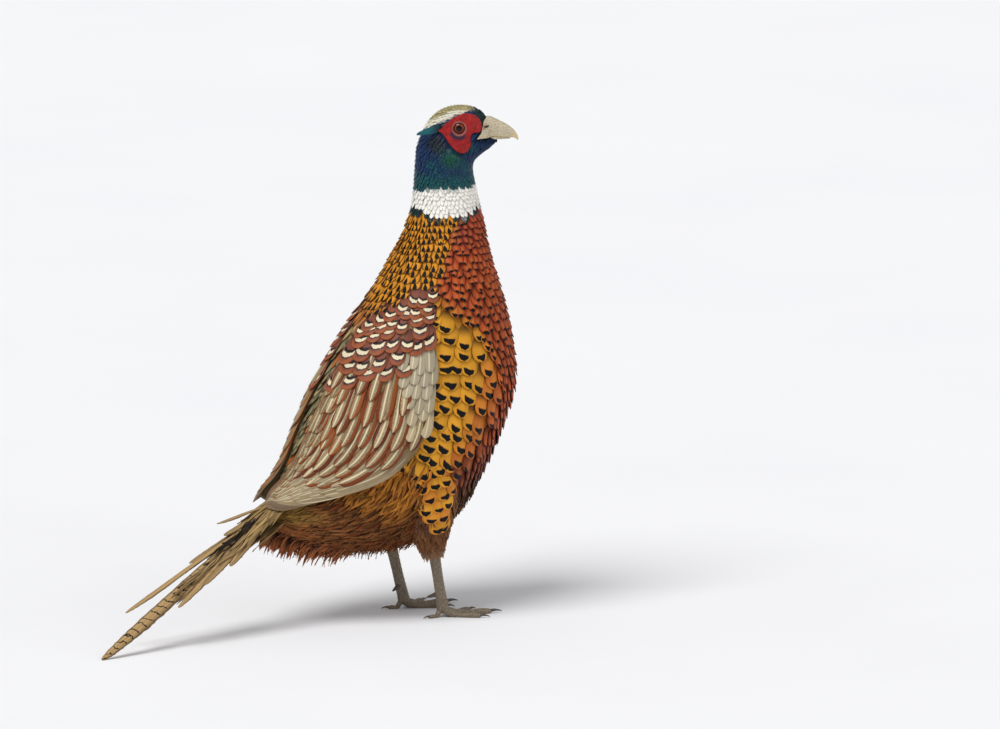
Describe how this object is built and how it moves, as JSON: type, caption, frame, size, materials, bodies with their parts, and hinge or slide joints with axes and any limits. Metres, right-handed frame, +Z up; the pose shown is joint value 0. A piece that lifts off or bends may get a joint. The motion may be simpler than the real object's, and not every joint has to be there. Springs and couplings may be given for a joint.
{
  "type": "common pheasant",
  "caption": "Male common pheasant standing alert, head turned, wings folded and barred tail laid to the floor, as a still life-size model.",
  "frame": {"origin": "middle of the bird's box at floor level", "axes": "+X the way the body faces, +Y the bird's left side, +Z up; the floor is z = 0"},
  "size_m": [0.437, 0.1472, 0.4511],
  "materials": {
    "head_feathers": "glossy blue-green feathers, olive crown",
    "wattle_skin": "bare red skin with fine papillae",
    "bill_horn": "pale horn, satin",
    "eye": "wet, dark pupil in an amber iris",
    "neck_feathers": "white collar over copper and gold feathers with dark tips",
    "body_feathers": "gold and copper feathers with black tips",
    "thigh_feathers": "loose brown feathers",
    "wing_feathers": "grey-buff and chestnut feathers with pale shafts",
    "tail_feathers": "buff feathers with black bars",
    "leg_scales": "grey-brown horny scutes"
  },
  "bodies": {
    "root": {"head": "head_feathers", "wattle_left": "wattle_skin", "wattle_right": "wattle_skin", "bill_upper": "bill_horn", "bill_lower": "bill_horn", "eye_left": "eye", "eye_right": "eye", "neck": "neck_feathers", "torso": "body_feathers", "wing_left": "wing_feathers", "wing_right": "wing_feathers", "thigh_left": "thigh_feathers", "thigh_right": "thigh_feathers", "leg_left": "leg_scales", "leg_right": "leg_scales", "tail": "tail_feathers"}
  },
  "joints": []
}
